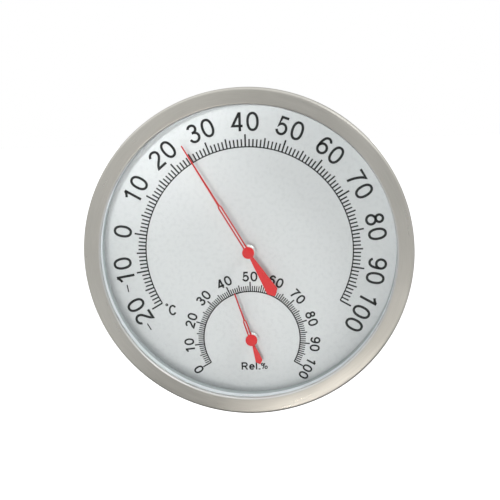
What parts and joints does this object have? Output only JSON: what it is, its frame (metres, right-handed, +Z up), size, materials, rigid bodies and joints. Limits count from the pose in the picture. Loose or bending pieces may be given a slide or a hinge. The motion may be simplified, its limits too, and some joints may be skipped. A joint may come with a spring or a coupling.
{
  "type": "dial thermo-hygrometer",
  "caption": "Round wall dial instrument: a temperature scale over a small humidity scale, red slotted pointers, glass front and brushed steel case.",
  "frame": {"origin": "centre of the rear cover's flat pad, on the wall plane and on the case axis", "axes": "+Y into the wall along the case axis, so the dial faces -Y; +X to the reader's right; +Z up the dial, towards the temperature scale's top"},
  "size_m": [0.133, 0.024, 0.133],
  "materials": {
    "bezel_steel": "brushed round the ring",
    "gasket_rubber": "matte",
    "lens_glass": "clear polished",
    "spacer_aluminium": "bright",
    "dial_silver": "satin silver",
    "ring_moulding": "fine moulded grain",
    "drum_steel": "mill satin",
    "zinc_plate": "bright zinc",
    "bush_nickel": "bright nickel",
    "movement_brass": "turned",
    "bimetal_strip": "rolled strip",
    "humidity_strip": "coated strip",
    "spindle_steel": "polished",
    "pointer_red": "red lacquer",
    "cap_red": "semi-gloss"
  },
  "bodies": {
    "case": {"bezel_ring": "bezel_steel", "case_drum": "drum_steel", "lens_gasket": "gasket_rubber", "lens": "lens_glass", "spacer_ring": "spacer_aluminium", "dial_plate": "dial_silver", "support_ring": "ring_moulding", "rear_cover": "drum_steel", "rear_screw_1": "zinc_plate", "rear_screw_2": "zinc_plate", "rear_screw_3": "zinc_plate", "temp_bush": "bush_nickel", "temp_bush_nut": "movement_brass", "temp_bridge": "zinc_plate", "temp_coil": "bimetal_strip", "hum_bush": "bush_nickel", "hum_bush_nut": "movement_brass", "hum_bridge": "zinc_plate", "hum_coil": "humidity_strip"},
    "temperature_pointer": {"temp_spindle": "spindle_steel", "temp_collet": "movement_brass", "temp_pointer_boss": "movement_brass", "temp_pointer": "pointer_red", "temp_pointer_cap": "cap_red"},
    "humidity_pointer": {"hum_spindle": "spindle_steel", "hum_collet": "movement_brass", "hum_pointer_boss": "movement_brass", "hum_pointer": "pointer_red", "hum_pointer_cap": "cap_red"}
  },
  "joints": [
    {"name": "temperature_pointer_turn", "type": "hinge", "parent": "case", "child": "temperature_pointer", "pos_m": [0, -0.014, 0], "axis": [0, 1, 0], "range_deg": [-90, 150], "stiffness_Nm_per_rad": 0.0005, "deforming": ["temp_coil"]},
    {"name": "humidity_pointer_turn", "type": "hinge", "parent": "case", "child": "humidity_pointer", "pos_m": [0, -0.014, -0.0371], "axis": [0, 1, 0], "range_deg": [-102.24, 137.76], "stiffness_Nm_per_rad": 0.0005, "deforming": ["hum_coil"]}
  ]
}
